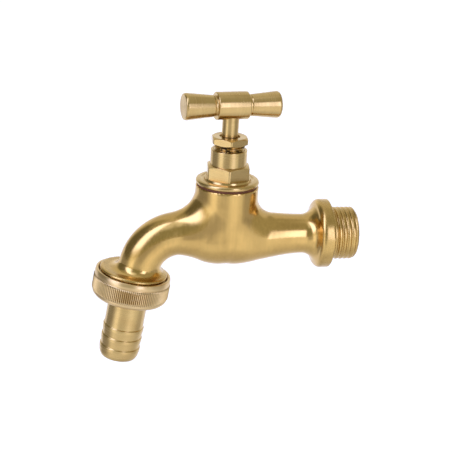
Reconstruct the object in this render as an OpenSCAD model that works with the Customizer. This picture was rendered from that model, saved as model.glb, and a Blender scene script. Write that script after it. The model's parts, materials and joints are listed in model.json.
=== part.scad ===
// Hose bib: garden tap with a T handle, a screw-down valve and a barbed hose tail.
// Lengths in mm. Origin: centre of the inlet flange's wall-side face, on the inlet axis.
// +X runs along the inlet thread into the wall, +Z up along the spindle, Y = 0 is the
// plane of symmetry. The valve is drawn closed and the union nut fully screwed on.

/* [Inlet] */
// Outside diameter of the inlet thread (G 1/2)
inlet_thread_d = 20.955; // [20:0.005:22]
// Length of the inlet thread from the flange face
inlet_thread_len = 10.6; // [8:0.1:14]
// Depth of the inlet and outlet threads
pipe_thread_depth = 1.162; // [0.8:0.001:1.4]
// Pitch of the inlet and outlet threads, 14 to the inch
pipe_pitch = 1.8143; // [1:0.0001:3]
// Diameter of the wall flange
flange_d = 27; // [24:0.1:32]
// Width of the flange's rim
flange_w = 4.3; // [2:0.1:6]
// Diameter of the neck behind the flange
neck_d = 15.5; // [14:0.1:20]
// Diameter of the bore in the inlet
inlet_bore_d = 11; // [8:0.1:13]

/* [Body] */
// Distance from the flange face back to the spindle axis
stem_back = 41.2; // [35:0.1:50]
// Diameter of the column that carries the bonnet
column_d = 24.2; // [20:0.1:28]
// Height of the column's top above the inlet axis
column_top = 20.3; // [16:0.1:26]
// Largest radius of the barrel-shaped middle
belly_r = 11.1; // [9:0.1:12]
// Height of the valve seat above the inlet axis
seat_z = 2.5; // [1:0.1:4]
// Diameter of the hole in the valve seat
seat_d = 9.5; // [7:0.1:11]
// Diameter of the chamber above the seat
chamber_d = 18; // [16:0.1:20]
// Wall left above the lower water way
partition_t = 1.5; // [1:0.1:3]

/* [Spout] */
// Centre of the spout's bend, behind the flange face
bend_x = 58.5; // [52:0.1:64]
// Centre of the spout's bend, below the inlet axis
bend_z = 15; // [12:0.1:20]
// Radius of the spout's centre line
bend_r = 15.8; // [13:0.1:20]
// Diameter of the spout outside
spout_d = 16.4; // [14:0.1:20]
// Diameter of the spout's bore
spout_bore_d = 11.2; // [8:0.1:12]
// Angle the spout turns through
bend_angle = 80.2; // [60:0.1:90]
// Lean of the outlet axis from the vertical
outlet_lean = 8.45; // [0:0.05:20]
// Outlet reference point, behind the flange face
outlet_x = 76.53; // [70:0.01:85]
// Outlet reference point, below the inlet axis
outlet_z = 17; // [12:0.1:22]
// Outside diameter of the outlet thread (G 3/4)
outlet_thread_d = 26.441; // [25:0.001:28]
// End of the outlet thread, below the reference point
outlet_end = 3.4; // [2:0.1:6]

/* [Bonnet] */
// Outside diameter of the thread that holds the bonnet in the column
bonnet_thread_d = 19.9; // [16:0.1:21]
// Pitch of the bonnet thread
bonnet_pitch = 1.5; // [1:0.1:2]
// Underside of the bonnet, above the inlet axis
bonnet_bottom = 13; // [11:0.1:15]
// Diameter of the bonnet's round flange
bonnet_flange_d = 24.3; // [22:0.1:28]
// Thickness of the sealing ring under the flange
gasket_t = 0.7; // [0.5:0.1:1.5]
// Top of the bonnet's round flange
bonnet_flange_top = 22.9; // [21:0.1:25]
// Width of the bonnet hexagon across its flats
bonnet_hex_af = 15.75; // [14:0.05:20]
// Top of the bonnet hexagon
bonnet_hex_top = 28.6; // [26:0.1:32]
// Diameter of the round packing housing
housing_d = 13.9; // [12:0.1:16]
// Top of the packing housing
housing_top = 34.5; // [32:0.1:40]
// Bottom of the packing chamber
packing_floor = 27; // [25:0.1:29]
// Direction of one corner of the bonnet hexagon
bonnet_turn = 23; // [0:1:59]

/* [Gland] */
// Outside diameter of the gland screw's thread
gland_thread_d = 11.9; // [10:0.1:12]
// Pitch of the gland screw's thread
gland_pitch = 1; // [0.75:0.05:1.5]
// Width of the gland screw's hexagon across its flats
gland_af = 13.2; // [12:0.1:17]
// Underside of the gland screw's hexagon
gland_hex_z = 36.75; // [35:0.05:38]
// Top of the gland screw's hexagon
gland_top = 39.5; // [38:0.1:42]
// Diameter of the recess round the spindle
gland_recess_d = 7.8; // [7:0.1:9]
// Direction of one corner of the gland hexagon
gland_turn = 25; // [0:1:59]
// Thickness of the brass washer on the packing
washer_t = 0.8; // [0.5:0.1:1.5]

/* [Spindle] */
// Diameter of the spindle's plain stem
stem_d = 6.3; // [5:0.1:8]
// Diameter of the spindle's lifting thread
lift_thread_d = 10; // [8:0.1:12]
// Lead of the lifting thread
lift_lead = 2.5; // [1.5:0.1:3]
// Height of the spindle's lifting thread
lift_thread_h = 5.4; // [4:0.1:8]
// Distance the valve opens
lift = 5; // [3:0.1:6]
// Diameter of the jumper's stem
jumper_stem_d = 4; // [3:0.1:5]
// Diameter of the jumper's plate
jumper_plate_d = 13; // [11:0.1:16]
// Thickness of the rubber washer
seat_washer_t = 3; // [2:0.1:4]

/* [Handle] */
// Height of the handle's axis
handle_z = 51.3; // [48:0.1:58]
// Length of the handle
handle_len = 37.5; // [30:0.1:50]
// Diameter of the hub
hub_d = 10.5; // [9:0.1:14]
// Length of the hub
hub_len = 12.5; // [10:0.1:18]
// Diameter of the handle's ends
grip_end_d = 10.2; // [8:0.1:14]
// Diameter of the grips beside the hub
grip_neck_d = 8; // [6:0.1:10]
// Direction the handle points in when the valve is closed
handle_turn = 7.6; // [0:0.1:90]
// Side of the spindle's square end
square_w = 4.5; // [4:0.1:4.6]

/* [Union nut and hose tail] */
// Diameter of the union nut over its knurl
nut_d = 30; // [28:0.1:34]
// Top of the union nut, above the reference point
nut_top = 2.2; // [1:0.1:4]
// Bottom of the union nut, below the reference point
nut_bottom = 8.2; // [7:0.1:10]
// Number of ridges in the knurl
knurl_n = 120; // [60:1:180]
// Diameter of the hose tail over its barbs
barb_d = 16; // [12:0.1:20]
// Diameter of the hose tail's plain length
tail_d = 15.3; // [12:0.1:20]
// Bore of the hose tail
tail_bore_d = 10.6; // [8:0.1:14]
// Free end of the hose tail, below the reference point
tail_end = 33.6; // [28:0.1:40]
// First barb, below the reference point
barb_first = 20.1; // [16:0.1:24]
// Distance from one barb to the next
barb_step = 4.3; // [3:0.1:6]
// Thickness of the flat rubber seal
seal_t = 1.55; // [1:0.05:2.5]

/* [Hidden] */
$fn = 96;
eps = 0.02;
brass = [0.83, 0.66, 0.33];
brass_dark = [0.74, 0.57, 0.27];
rubber = [0.12, 0.12, 0.12];
fibre = [0.5, 0.25, 0.15];
white = [0.9, 0.9, 0.87];
hole_clear = 0.05;
way_z = -4.9;
way_r = 3.9;
inlet_bore_end = 21;
floor_z = seat_z - partition_t;
seat_ring_t = 1.5;
cove_r = 4.5;
outlet_bore_r = 6;
flange_z = column_top + gasket_t;
jumper_z = seat_z + seat_washer_t;
plate_t = 1.8;
spindle_z = jumper_z + plate_t + eps;
lift_thread_z = bonnet_bottom + 0.5;
lift_thread_depth = 0.9;
lift_turns = floor((lift_thread_h - 0.3) / lift_lead);
lift_bore_top = lift_thread_z + lift_thread_h + lift + 0.3;
clip_z = 16.2;
clip_wire_r = 0.38;
stud_len = 2.6;
seat_washer_r = 6.2;
gland_shank = 5.4;
gland_thread_depth = 0.6;
bonnet_thread_depth = 0.92;
ledge_r = 8.9;
packing_t = (gland_hex_z - gland_shank - washer_t - packing_floor) / 2;
washer_z = packing_floor + 2 * packing_t;
hub_r = hub_d / 2;
end_r = grip_end_d / 2;
square_z = handle_z - hub_r + 1.2;
seal_s = outlet_end + eps;
tail_flange_s = seal_s + seal_t + eps;
tail_flange_t = 1.6;
tail_flange_r = 11.7;
knurl_depth = 0.28;
lip_s = tail_flange_s + tail_flange_t + eps;

// Half profile of an outside thread drawn as rings, from height z0, n crests of one pitch.
function rings(r, depth, pitch, z0, n) = [for (i = [0:n - 1]) for (k = [0:3])
  [k < 2 ? r : r - depth, z0 + pitch * (i + (k == 0 ? 0 : k == 1 ? 0.32 : k == 2 ? 0.6 : 0.72))]];

// Places a shape whose +Z is the inlet axis.
module along_inlet() { rotate([0, 90, 0]) children(); }

// Places a shape on the spindle axis.
module on_stem() { translate([-stem_back, 0, 0]) children(); }

// Places a shape whose +Z leaves the spout along the outlet axis.
module on_outlet() { translate([-outlet_x, 0, -outlet_z]) rotate([0, 180 + outlet_lean, 0]) children(); }

// A turned piece from its half profile.
module turned(points) { rotate_extrude() polygon(points); }

// A ring with a square section.
module ring(r_in, r_out, z0, z1) { turned([[r_in, z0], [r_out, z0], [r_out, z1], [r_in, z1]]); }

// A plain round bar from z0 to z1.
module bar(r, z0, z1) { translate([0, 0, z0]) cylinder(h = z1 - z0, r = r); }

// A hexagonal bar with its corners chamfered at the top.
module hex_bar(af, z0, z1, turn, chamfer) {
  ac = af / cos(30);
  intersection() {
    rotate([0, 0, turn]) translate([0, 0, z0]) cylinder(h = z1 - z0, r = ac / 2, $fn = 6);
    turned([[0, z0 - 1], [ac / 2 + 1, z0 - 1], [ac / 2 + 1, z1 - chamfer - 0.6],
      [af / 2 - 0.2, z1], [af / 2 - 0.4, z1 + 0.5], [0, z1 + 0.5]]);
  }
}

// Round bar between two points in the plane of symmetry.
module bore_to(x0, z0, x1, z1, r) {
  dx = x1 - x0;
  dz = z1 - z0;
  translate([x0, 0, z0]) rotate([0, atan2(dx, dz), 0]) cylinder(h = sqrt(dx * dx + dz * dz), r = r);
}

// The spout's bend with a straight length at each end.
module spout(r, lead_in, lead_out) {
  translate([-bend_x, 0, -bend_z]) rotate([90, 0, 0]) {
    rotate([0, 0, 90]) rotate_extrude(angle = bend_angle) translate([bend_r, 0]) circle(r = r);
    translate([0, bend_r, 0]) rotate([0, 90, 0]) cylinder(h = lead_in, r = r);
    rotate([0, 0, bend_angle]) translate([0, bend_r, 0]) rotate([0, -90, 0]) cylinder(h = lead_out, r = r);
  }
}

// Inlet thread, wall flange, bell, neck and barrel, turned about the inlet axis.
module inlet_skin() {
  r = inlet_thread_d / 2;
  f = flange_d / 2;
  n = neck_d / 2;
  last = inlet_thread_len - 0.9;
  along_inlet() turned(concat(
    [[0, -57.5], [7.6, -57.5], [8.1, -54.2], [8.9, -50.2], [9.9, -46.2], [10.75, -42.2],
     [belly_r, -39], [belly_r, -36.5], [10.9, -34.2], [10.3, -30.2], [9.5, -25.5], [8.75, -20.5],
     [8.15, -16.5], [n + 0.1, -13.2], [n, -10.8]],
    [for (a = [15:15:90]) [n + cove_r * (1 - cos(a)), -10.8 + cove_r * sin(a)]],
    [[f - 0.8, -flange_w - 1.2], [f - 0.3, -flange_w - 0.7], [f, -flange_w], [f, -0.6], [f - 0.25, -0.2],
     [f - 0.7, 0]],
    rings(r, pipe_thread_depth, pipe_pitch, 0, 5),
    [[r, 5 * pipe_pitch], [r, last], [r - 0.8, inlet_thread_len], [0, inlet_thread_len]]));
}

// Column and rounded underside, turned about the spindle axis.
module column_skin() {
  r = column_d / 2;
  on_stem() turned(concat(
    [for (a = [-90:15:-15]) [r * cos(a), 0.4 + r * sin(a)]],
    [[r, 0.4], [r, column_top - 0.5], [r - 0.5, column_top], [0, column_top]]));
}

// Collar and outlet thread, turned about the outlet axis.
module outlet_skin() {
  r = outlet_thread_d / 2;
  on_outlet() turned(concat(
    [[0, -7.2], [6.8, -7.2], [7.6, -5.8], [8.8, -4.6], [10.2, -3.8], [11.6, -3.2], [r - 0.5, -2.9],
     [r - 0.1, -2.5], [r - 0.1, -1.9], [r - pipe_thread_depth, -1.5], [r - pipe_thread_depth, -1.1]],
    rings(r, pipe_thread_depth, pipe_pitch, -0.6, 1),
    [[r, -0.6 + pipe_pitch], [r, 1.8], [r - pipe_thread_depth, 2.3], [r - pipe_thread_depth, 2.5], [r, 2.9],
     [r - 0.1, outlet_end], [0, outlet_end]]));
}

// The one-piece cast body with its water way and valve seat.
module body() {
  color(brass) difference() {
    union() {
      inlet_skin();
      column_skin();
      spout(spout_d / 2, 12, 3.5);
      outlet_skin();
    }
    // inlet bore, then down under the seat
    along_inlet() bar(inlet_bore_d / 2, -inlet_bore_end, inlet_thread_len + 1);
    bore_to(3 - inlet_bore_end, 0.3, 9.7 - stem_back, way_z, way_r);
    bore_to(10.7 - stem_back, way_z, -stem_back, way_z, way_r - 0.05);
    on_stem() bar(seat_d / 2, way_z - way_r + 0.2, seat_z + 1);
    // upper chamber round the raised seat
    on_stem() ring(seat_d / 2 + seat_ring_t, chamber_d / 2, floor_z, seat_z + 0.5);
    on_stem() bar(chamber_d / 2, seat_z, bonnet_bottom - 0.5);
    on_stem() bar(bonnet_thread_d / 2 + hole_clear, bonnet_bottom - 1, column_top + 1);
    // way out through the spout
    bore_to(-bend_x - 1, 0.6, -50, 4.4, 4.9);
    spout(spout_bore_d / 2, 0.6, 3.5);
    on_outlet() bar(outlet_bore_r, -3.2, outlet_end + 1);
  }
}

// Bonnet: thread, round flange, hexagon and packing housing in one piece.
module bonnet() {
  r = bonnet_thread_d / 2;
  f = bonnet_flange_d / 2;
  h = housing_d / 2;
  color(brass) on_stem() difference() {
    union() {
      turned(concat(
        [[0, bonnet_bottom], [r - 1, bonnet_bottom], [r - 1, bonnet_bottom + 0.4]],
        rings(r, bonnet_thread_depth, bonnet_pitch, bonnet_bottom + 0.9, 4),
        [[r - 1, bonnet_bottom + 0.9 + 4 * bonnet_pitch], [r - 1, flange_z], [f - 0.9, flange_z],
         [f - 0.25, flange_z + 0.3], [f, flange_z + 0.8], [f - 0.15, bonnet_flange_top - 0.55],
         [f - 0.7, bonnet_flange_top - 0.15], [f - 1.3, bonnet_flange_top], [ledge_r, bonnet_flange_top + 0.1],
         [ledge_r, bonnet_flange_top + 0.4], [h, bonnet_flange_top + 0.4], [h, housing_top - 0.3],
         [h - 0.3, housing_top], [0, housing_top]]));
      hex_bar(bonnet_hex_af, bonnet_flange_top + 0.3, bonnet_hex_top, bonnet_turn, 0.3);
    }
    bar(lift_thread_d / 2 + 0.04, bonnet_bottom - 1, lift_bore_top);
    bar(stem_d / 2 + hole_clear, lift_bore_top - 1, packing_floor + 1);
    bar(gland_thread_d / 2 + hole_clear, packing_floor, housing_top + 1);
  }
}

// Fibre ring between the column and the bonnet's flange.
module bonnet_gasket() {
  color(fibre) on_stem() ring(bonnet_thread_d / 2 + 0.15, column_d / 2 - 0.5, column_top, flange_z);
}

// Hexagon-headed gland screw that squeezes the packing.
module gland_screw() {
  r = gland_thread_d / 2;
  root = r - gland_thread_depth;
  z = washer_z + washer_t;
  color(brass) on_stem() difference() {
    union() {
      turned(concat([[0, z], [root, z], [root, z + 0.2]], rings(r, gland_thread_depth, gland_pitch, z + 0.4, 4),
        [[root, z + 0.4 + 4 * gland_pitch], [root, gland_hex_z + 0.5], [0, gland_hex_z + 0.5]]));
      hex_bar(gland_af, gland_hex_z, gland_top, gland_turn, 0.4);
    }
    bar(stem_d / 2 + 0.07, z - 1, gland_top + 1);
    turned([[0, gland_top - 1.2], [stem_d / 2 + 0.3, gland_top - 1.2], [gland_recess_d / 2, gland_top - 0.7],
      [gland_recess_d / 2, gland_top + 0.5], [0, gland_top + 0.5]]);
  }
}

// Brass washer that keeps the gland screw from twisting the packing.
module gland_washer() {
  color(brass_dark) on_stem() ring(stem_d / 2 + 0.08, gland_thread_d / 2 - 0.2, washer_z, washer_z + washer_t);
}

// The packing rings that seal the spindle.
module packing(z) {
  color(white) on_stem() ring(stem_d / 2 + 0.02, gland_thread_d / 2 - 0.05, z, z + packing_t);
}

module packing_ring_lower() { packing(packing_floor); }

module packing_ring_upper() { packing(packing_floor + packing_t); }

// Rising spindle: socket for the jumper, lifting thread, stem and a square end dressed flush with the hub.
module spindle() {
  r = lift_thread_d / 2;
  s = stem_d / 2;
  color(brass) on_stem() {
    difference() {
      union() {
        turned(concat([[0, spindle_z], [3.7, spindle_z], [4, spindle_z + 0.3], [4, lift_thread_z]],
          rings(r, lift_thread_depth, lift_lead, lift_thread_z, lift_turns),
          [[r, lift_thread_z + lift_turns * lift_lead], [r, lift_thread_z + lift_thread_h],
           [s, lift_thread_z + lift_thread_h], [s, square_z], [0, square_z]]));
        translate([0, 0, handle_z]) rotate([0, 0, handle_turn]) intersection() {
          translate([-square_w / 2, -square_w / 2, -hub_r]) cube([square_w, square_w, hub_d]);
          rotate([0, 90, 0]) bar(hub_r - eps, -square_w, square_w);
        }
      }
      bar(jumper_stem_d / 2 + 0.06, spindle_z - 1, clip_z + 2.6);
      bar(jumper_stem_d / 2 + 0.5, clip_z - 0.6, clip_z + 0.6);
    }
  }
}

// T handle turned from one bar, with a square hole for the spindle.
module handle_bar() {
  half = handle_len / 2;
  neck = grip_neck_d / 2;
  h = hub_len / 2;
  side = [[end_r - 0.8, half], [end_r - 0.2, half - 0.25], [end_r, half - 0.9], [neck + 0.05, h + 1.4],
    [neck - 0.25, h + 0.9], [neck - 0.25, h], [hub_r - 0.5, h], [hub_r, h - 0.5]];
  other = [for (i = [len(side) - 1:-1:0]) [side[i][0], -side[i][1]]];
  color(brass) on_stem() difference() {
    translate([0, 0, handle_z]) rotate([0, 90, handle_turn])
      turned(concat([[0, half]], side, other, [[0, -half]]));
    rotate([0, 0, handle_turn]) translate([-square_w / 2 - 0.03, -square_w / 2 - 0.03, handle_z - hub_r - 1])
      cube([square_w + 0.06, square_w + 0.06, hub_d + 2]);
    bar(stem_d / 2 + 0.03, handle_z - hub_r - 1, square_z + 0.02);
  }
}

// Valve plate with a stem into the spindle and a stud for the rubber washer.
module jumper() {
  r = jumper_stem_d / 2;
  color(brass_dark) on_stem() turned([[0, seat_z - stud_len], [r - 0.3, seat_z - stud_len],
    [r, seat_z - stud_len + 0.3], [r, jumper_z],
    [jumper_plate_d / 2, jumper_z], [jumper_plate_d / 2, jumper_z + plate_t - 0.3],
    [jumper_plate_d / 2 - 0.3, jumper_z + plate_t], [r, jumper_z + plate_t], [r, clip_z - 0.42],
    [r - 0.42, clip_z - 0.42], [r - 0.42, clip_z + 0.42], [r, clip_z + 0.42], [r, clip_z + 1.6],
    [r - 0.4, clip_z + 2], [0, clip_z + 2]]);
}

// Open wire ring that keeps the jumper in the spindle.
module jumper_clip() {
  color([0.75, 0.76, 0.78]) on_stem() translate([0, 0, clip_z]) rotate([0, 0, 25])
    rotate_extrude(angle = 310) translate([jumper_stem_d / 2 + 0.02, 0]) circle(r = clip_wire_r, $fn = 24);
}

// Rubber washer that closes the seat.
module seat_washer() {
  r = jumper_stem_d / 2 + 0.1;
  color(rubber) on_stem() turned([[r, seat_z + eps], [seat_washer_r - 0.3, seat_z + eps],
    [seat_washer_r, seat_z + 0.4], [seat_washer_r, jumper_z - eps], [r, jumper_z - eps]]);
}

// Small hexagon nut under the rubber washer.
module washer_nut() {
  color(brass_dark) on_stem() difference() {
    translate([0, 0, seat_z - 2]) cylinder(h = 2, r = 6.6 / 2 / cos(30), $fn = 6);
    bar(jumper_stem_d / 2 + 0.03, seat_z - 3, seat_z + 1);
  }
}

// Knurled union nut on the outlet thread.
module union_nut() {
  r = nut_d / 2;
  bore = outlet_thread_d / 2 + 0.06;
  valley = r - knurl_depth;
  color(brass) on_outlet() {
    turned([[bore + 0.25, -nut_top], [r - 0.8, -nut_top], [r - 0.4, -nut_top + 0.4], [r - 0.4, 0.1],
      [valley - 0.1, 0.3], [valley - 0.1, 6.3], [r - 0.4, 6.5], [r - 0.4, 6.9], [r - 0.9, nut_bottom - 0.5],
      [r - 1.6, nut_bottom], [barb_d / 2 + 0.15, nut_bottom], [barb_d / 2 + 0.15, lip_s],
      [bore, lip_s], [bore, -nut_top + 0.3]]);
    translate([0, 0, 0.4]) linear_extrude(height = 5.8) difference() {
      polygon([for (i = [0:2 * knurl_n - 1]) let (q = i % 2 == 0 ? r : valley)
        [q * cos(180 * i / knurl_n), q * sin(180 * i / knurl_n)]]);
      circle(r = bore + 0.5);
    }
  }
}

// Barbed hose tail with the flange that the union nut pulls up.
module hose_tail() {
  b = barb_d / 2;
  t = tail_d / 2;
  last = barb_first + 2 * barb_step;
  color(brass) on_outlet() difference() {
    turned(concat(
      [[0, tail_flange_s], [tail_flange_r - 0.2, tail_flange_s], [tail_flange_r, tail_flange_s + 0.2],
       [tail_flange_r, tail_flange_s + tail_flange_t],
       [t, tail_flange_s + tail_flange_t], [t, barb_first]],
      [for (i = [0:1]) for (k = [0, 0.3, 1]) [k < 1 ? b : t, barb_first + barb_step * (i + k)]],
      [[b, last], [b, last + 1.3], [b - 0.35, tail_end - 1.6], [b - 0.8, tail_end - 0.5], [b - 1.5, tail_end],
       [0, tail_end]]));
    bar(tail_bore_d / 2, tail_flange_s - 1, tail_end + 1);
  }
}

// Flat rubber seal between the outlet and the hose tail.
module tail_seal() {
  color(rubber) on_outlet() ring(6.2, 11.6, seal_s, seal_s + seal_t);
}

body();
bonnet();
bonnet_gasket();
gland_screw();
gland_washer();
packing_ring_upper();
packing_ring_lower();
spindle();
handle_bar();
jumper();
jumper_clip();
seat_washer();
washer_nut();
union_nut();
hose_tail();
tail_seal();
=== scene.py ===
"""The looks of the hose bib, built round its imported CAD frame.

Shapes are worked out in millimetres and become metres when a mesh is made. Turned pieces are built
in their own frame, with +Z as the turning axis, and are then placed by a matrix.
"""

import json
import math

import bmesh
import bpy
import numpy as np
from mathutils import Matrix, Vector


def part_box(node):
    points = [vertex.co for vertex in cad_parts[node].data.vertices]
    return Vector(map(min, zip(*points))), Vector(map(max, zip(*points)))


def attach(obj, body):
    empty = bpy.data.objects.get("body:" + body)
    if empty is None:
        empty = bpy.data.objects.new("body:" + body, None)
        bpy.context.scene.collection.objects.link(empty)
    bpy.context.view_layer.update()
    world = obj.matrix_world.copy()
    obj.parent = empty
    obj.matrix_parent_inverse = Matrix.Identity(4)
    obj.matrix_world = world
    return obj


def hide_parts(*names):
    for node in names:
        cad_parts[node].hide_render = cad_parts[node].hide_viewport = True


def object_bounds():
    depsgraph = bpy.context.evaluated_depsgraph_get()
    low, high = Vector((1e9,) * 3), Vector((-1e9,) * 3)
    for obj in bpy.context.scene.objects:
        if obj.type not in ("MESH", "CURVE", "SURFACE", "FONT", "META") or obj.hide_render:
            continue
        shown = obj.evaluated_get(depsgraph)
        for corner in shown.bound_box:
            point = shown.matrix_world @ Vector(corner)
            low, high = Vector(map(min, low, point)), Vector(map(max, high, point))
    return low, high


MM = 0.001
TURN = 2 * math.pi

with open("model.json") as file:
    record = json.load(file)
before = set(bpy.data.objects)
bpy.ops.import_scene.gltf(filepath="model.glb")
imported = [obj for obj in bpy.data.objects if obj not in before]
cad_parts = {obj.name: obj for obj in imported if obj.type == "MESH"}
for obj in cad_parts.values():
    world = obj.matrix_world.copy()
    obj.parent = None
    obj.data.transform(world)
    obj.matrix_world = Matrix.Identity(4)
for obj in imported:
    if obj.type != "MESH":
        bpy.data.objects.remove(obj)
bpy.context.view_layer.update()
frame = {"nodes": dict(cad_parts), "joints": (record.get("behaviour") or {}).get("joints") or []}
joints = {joint["name"]: joint for joint in frame["joints"]}


# ---------------------------------------------------------------- places taken from the frame

def point_mm(joint):
    """A joint's point in millimetres."""
    return np.array(joint["pos_m"]) / MM


def box_mm(node):
    """A CAD node's lowest and highest corner in millimetres."""
    low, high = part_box(node)
    return np.array(low) / MM, np.array(high) / MM


stem_x, _, handle_z = point_mm(joints["handle_turn"])
outlet_point = point_mm(joints["union_turn"])
outlet_axis = np.array(joints["union_turn"]["axis"])
column_top = box_mm("bonnet_gasket")[0][2]
flange_under = box_mm("bonnet_gasket")[1][2]
gland_foot = box_mm("gland_washer")[1][2]
gland_top = box_mm("gland_screw")[1][2]
packing_floor = box_mm("packing_ring_lower")[0][2]
bonnet_bottom = box_mm("bonnet")[0][2]
housing_top = box_mm("bonnet")[1][2]
spindle_foot = box_mm("spindle")[0][2]
inlet_end = box_mm("body")[1][0]
nut_r = box_mm("union_nut")[1][1]

on_stem = Matrix.Translation((stem_x * MM, 0, 0))
along_inlet = Matrix.Rotation(math.pi / 2, 4, "Y")
on_outlet = Matrix.Translation(Vector(outlet_point * MM)) @ Matrix.Rotation(
    math.atan2(outlet_axis[0], outlet_axis[2]), 4, "Y")


# ---------------------------------------------------------------- outlines and meshes

def rounded(points, steps=5):
    """An outline of (r, z) or (r, z, fillet) corners, with each stated fillet drawn as an arc."""
    out = []
    count = len(points)
    for i, corner in enumerate(points):
        here = np.array(corner[:2], float)
        if len(corner) < 3:
            out.append(here)
            continue
        back = np.array(points[i - 1][:2], float) - here
        ahead = np.array(points[(i + 1) % count][:2], float) - here
        back_len, ahead_len = np.linalg.norm(back), np.linalg.norm(ahead)
        back, ahead = back / back_len, ahead / ahead_len
        half = math.acos(max(-1.0, min(1.0, float(back @ ahead)))) / 2
        reach = min(corner[2] / math.tan(half), 0.49 * back_len, 0.49 * ahead_len)
        radius = reach * math.tan(half)
        middle = (back + ahead) / np.linalg.norm(back + ahead)
        centre = here + middle * radius / math.sin(half)
        start, end = here + back * reach - centre, here + ahead * reach - centre
        for t in np.linspace(0, 1, steps + 1):
            spoke = start * (1 - t) + end * t
            out.append(centre + spoke / np.linalg.norm(spoke) * radius)
    return np.array(out)


def finer(outline, step, low, high):
    """The outline with its stretches between heights low and high cut to at most step."""
    out = []
    for i, here in enumerate(outline):
        ahead = outline[(i + 1) % len(outline)]
        out.append(here)
        inside = low - 1e-6 <= min(here[1], ahead[1]) and max(here[1], ahead[1]) <= high + 1e-6
        if inside and i + 1 < len(outline):
            cuts = int(abs(ahead[1] - here[1]) / step)
            out.extend(here + (ahead - here) * k / (cuts + 1) for k in range(1, cuts + 1))
    return np.array(out)


def turned(outline, segments=160, shape=None, closed=True, start=0.0):
    """Vertices and faces of an outline turned about Z, beginning at the angle start.

    shape(angle, r, z) may change the radius; its angle counts from start.
    """
    angle = TURN * np.arange(segments) / segments
    r = np.repeat(outline[:, :1], segments, 1)
    z = np.repeat(outline[:, 1:], segments, 1)
    a = np.repeat(angle[None], len(outline), 0)
    if shape is not None:
        r = shape(a, r, z)
    points = np.stack([r * np.cos(a + start), r * np.sin(a + start), z], -1).reshape(-1, 3)
    rows = np.arange(len(outline) if closed else len(outline) - 1)
    first = rows[:, None] * segments + np.arange(segments)
    after = (rows[:, None] + 1) % len(outline) * segments + np.arange(segments)
    faces = np.stack([first, np.roll(first, -1, 1), np.roll(after, -1, 1), after], -1)
    return points, faces.reshape(-1, 4)


def hex_radius(angle, flats):
    """Distance from the axis to a hexagon's side, with one corner at angle 0."""
    return flats / 2 / np.cos((angle % (TURN / 6)) - TURN / 12)


def thread_cut(angle, z, pitch, depth):
    """How far a right-hand thread's surface lies below its crest."""
    return depth * (0.5 - 0.5 * np.cos(TURN * (z / pitch - angle / TURN)))


def make(name, points, faces, material, place=None, sharp=32):
    """A Blender object from points in millimetres, smooth except at edges sharper than sharp degrees."""
    mesh = bpy.data.meshes.new(name)
    mesh.from_pydata((np.asarray(points) * MM).tolist(), [], np.asarray(faces).tolist())
    obj = bpy.data.objects.new(name, mesh)
    bpy.context.scene.collection.objects.link(obj)
    obj.matrix_world = place or Matrix.Identity(4)
    tidy(obj, sharp)
    if material:
        mesh.materials.append(material)
    return obj


def tidy(obj, sharp):
    """Merges points that coincide, drops loose edges, turns faces outwards and sets the shading."""
    mesh = obj.data
    work = bmesh.new()
    work.from_mesh(mesh)
    bmesh.ops.remove_doubles(work, verts=work.verts, dist=2e-6)
    bmesh.ops.delete(work, geom=[edge for edge in work.edges if not edge.link_faces], context="EDGES")
    bmesh.ops.recalc_face_normals(work, faces=work.faces)
    work.to_mesh(mesh)
    work.free()
    mesh.polygons.foreach_set("use_smooth", [True] * len(mesh.polygons))
    mesh.set_sharp_from_angle(angle=math.radians(sharp))


def combine(obj, tool, operation, sharp=32):
    """Joins tool to obj or cuts it away, and removes the tool."""
    step = obj.modifiers.new("combine", "BOOLEAN")
    step.operation = operation
    step.solver = "MANIFOLD"
    step.object = tool
    bpy.context.view_layer.update()
    result = bpy.data.meshes.new_from_object(obj.evaluated_get(bpy.context.evaluated_depsgraph_get()))
    obj.modifiers.remove(step)
    old = obj.data
    obj.data = result
    result.name = old.name
    bpy.data.meshes.remove(old)
    bpy.data.objects.remove(tool)
    tidy(obj, sharp)


# ---------------------------------------------------------------- distance functions for the casting

def fillet_union(a, b, radius):
    """The union of two distances, with a round fillet where they meet."""
    bite = np.hypot(np.maximum(radius - a, 0), np.maximum(radius - b, 0))
    return np.maximum(radius, np.minimum(a, b)) - bite


def rounded_disc(rho, along, radius, low, high, edge_low, edge_high):
    """A disc about an axis whose two rims have their own rounding."""
    edge = np.where(along < (low + high) / 2, edge_low, edge_high)
    out_r = rho - radius + edge
    out_z = np.maximum(low - along, along - high) + edge
    outside = np.hypot(np.maximum(out_r, 0), np.maximum(out_z, 0))
    return np.minimum(np.maximum(out_r, out_z), 0) + outside - edge


def rod(p, start, end, radius):
    """A round-ended rod between two (x, z) points in the plane of symmetry."""
    start, end = np.array([start[0], 0, start[1]]), np.array([end[0], 0, end[1]])
    line = end - start
    share = np.clip((p - start) @ line / (line @ line), 0, 1)
    return np.linalg.norm(p - start - share[:, None] * line, axis=1) - radius


# ---------------------------------------------------------------- the casting

# The barrel lies along X, from the wall flange, whose face is at x = 0, to the spout. It swells into
# a belly under the column, which hangs a little low, and thins at its far end, inside the spout.
NECK_R = 7.72
SPOUT_NECK_R = 7.5
BARREL_START, BARREL_END = -0.9, -57.5
BELLY_R = 11.25
BELLY_X = -38.5
BELLY_TO_NECK = 28.5
BELLY_TO_SPOUT = 20
BELLY_HANG = 0.25
SINK = 2.2
SINK_START = -49

FLANGE_R = 13.5
FLANGE_THICK = 5.2
COVE = 5.2

# The column is a cylinder down to DOME_Z and half an ellipsoid below it.
COLUMN_R = 12.1
COLUMN_EDGE = 0.5
DOME_Z = 0.4
DOME_DEPTH = 11.7
SPOUT_SHOULDER = 9.5
NECK_SHOULDER = 7.0

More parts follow.
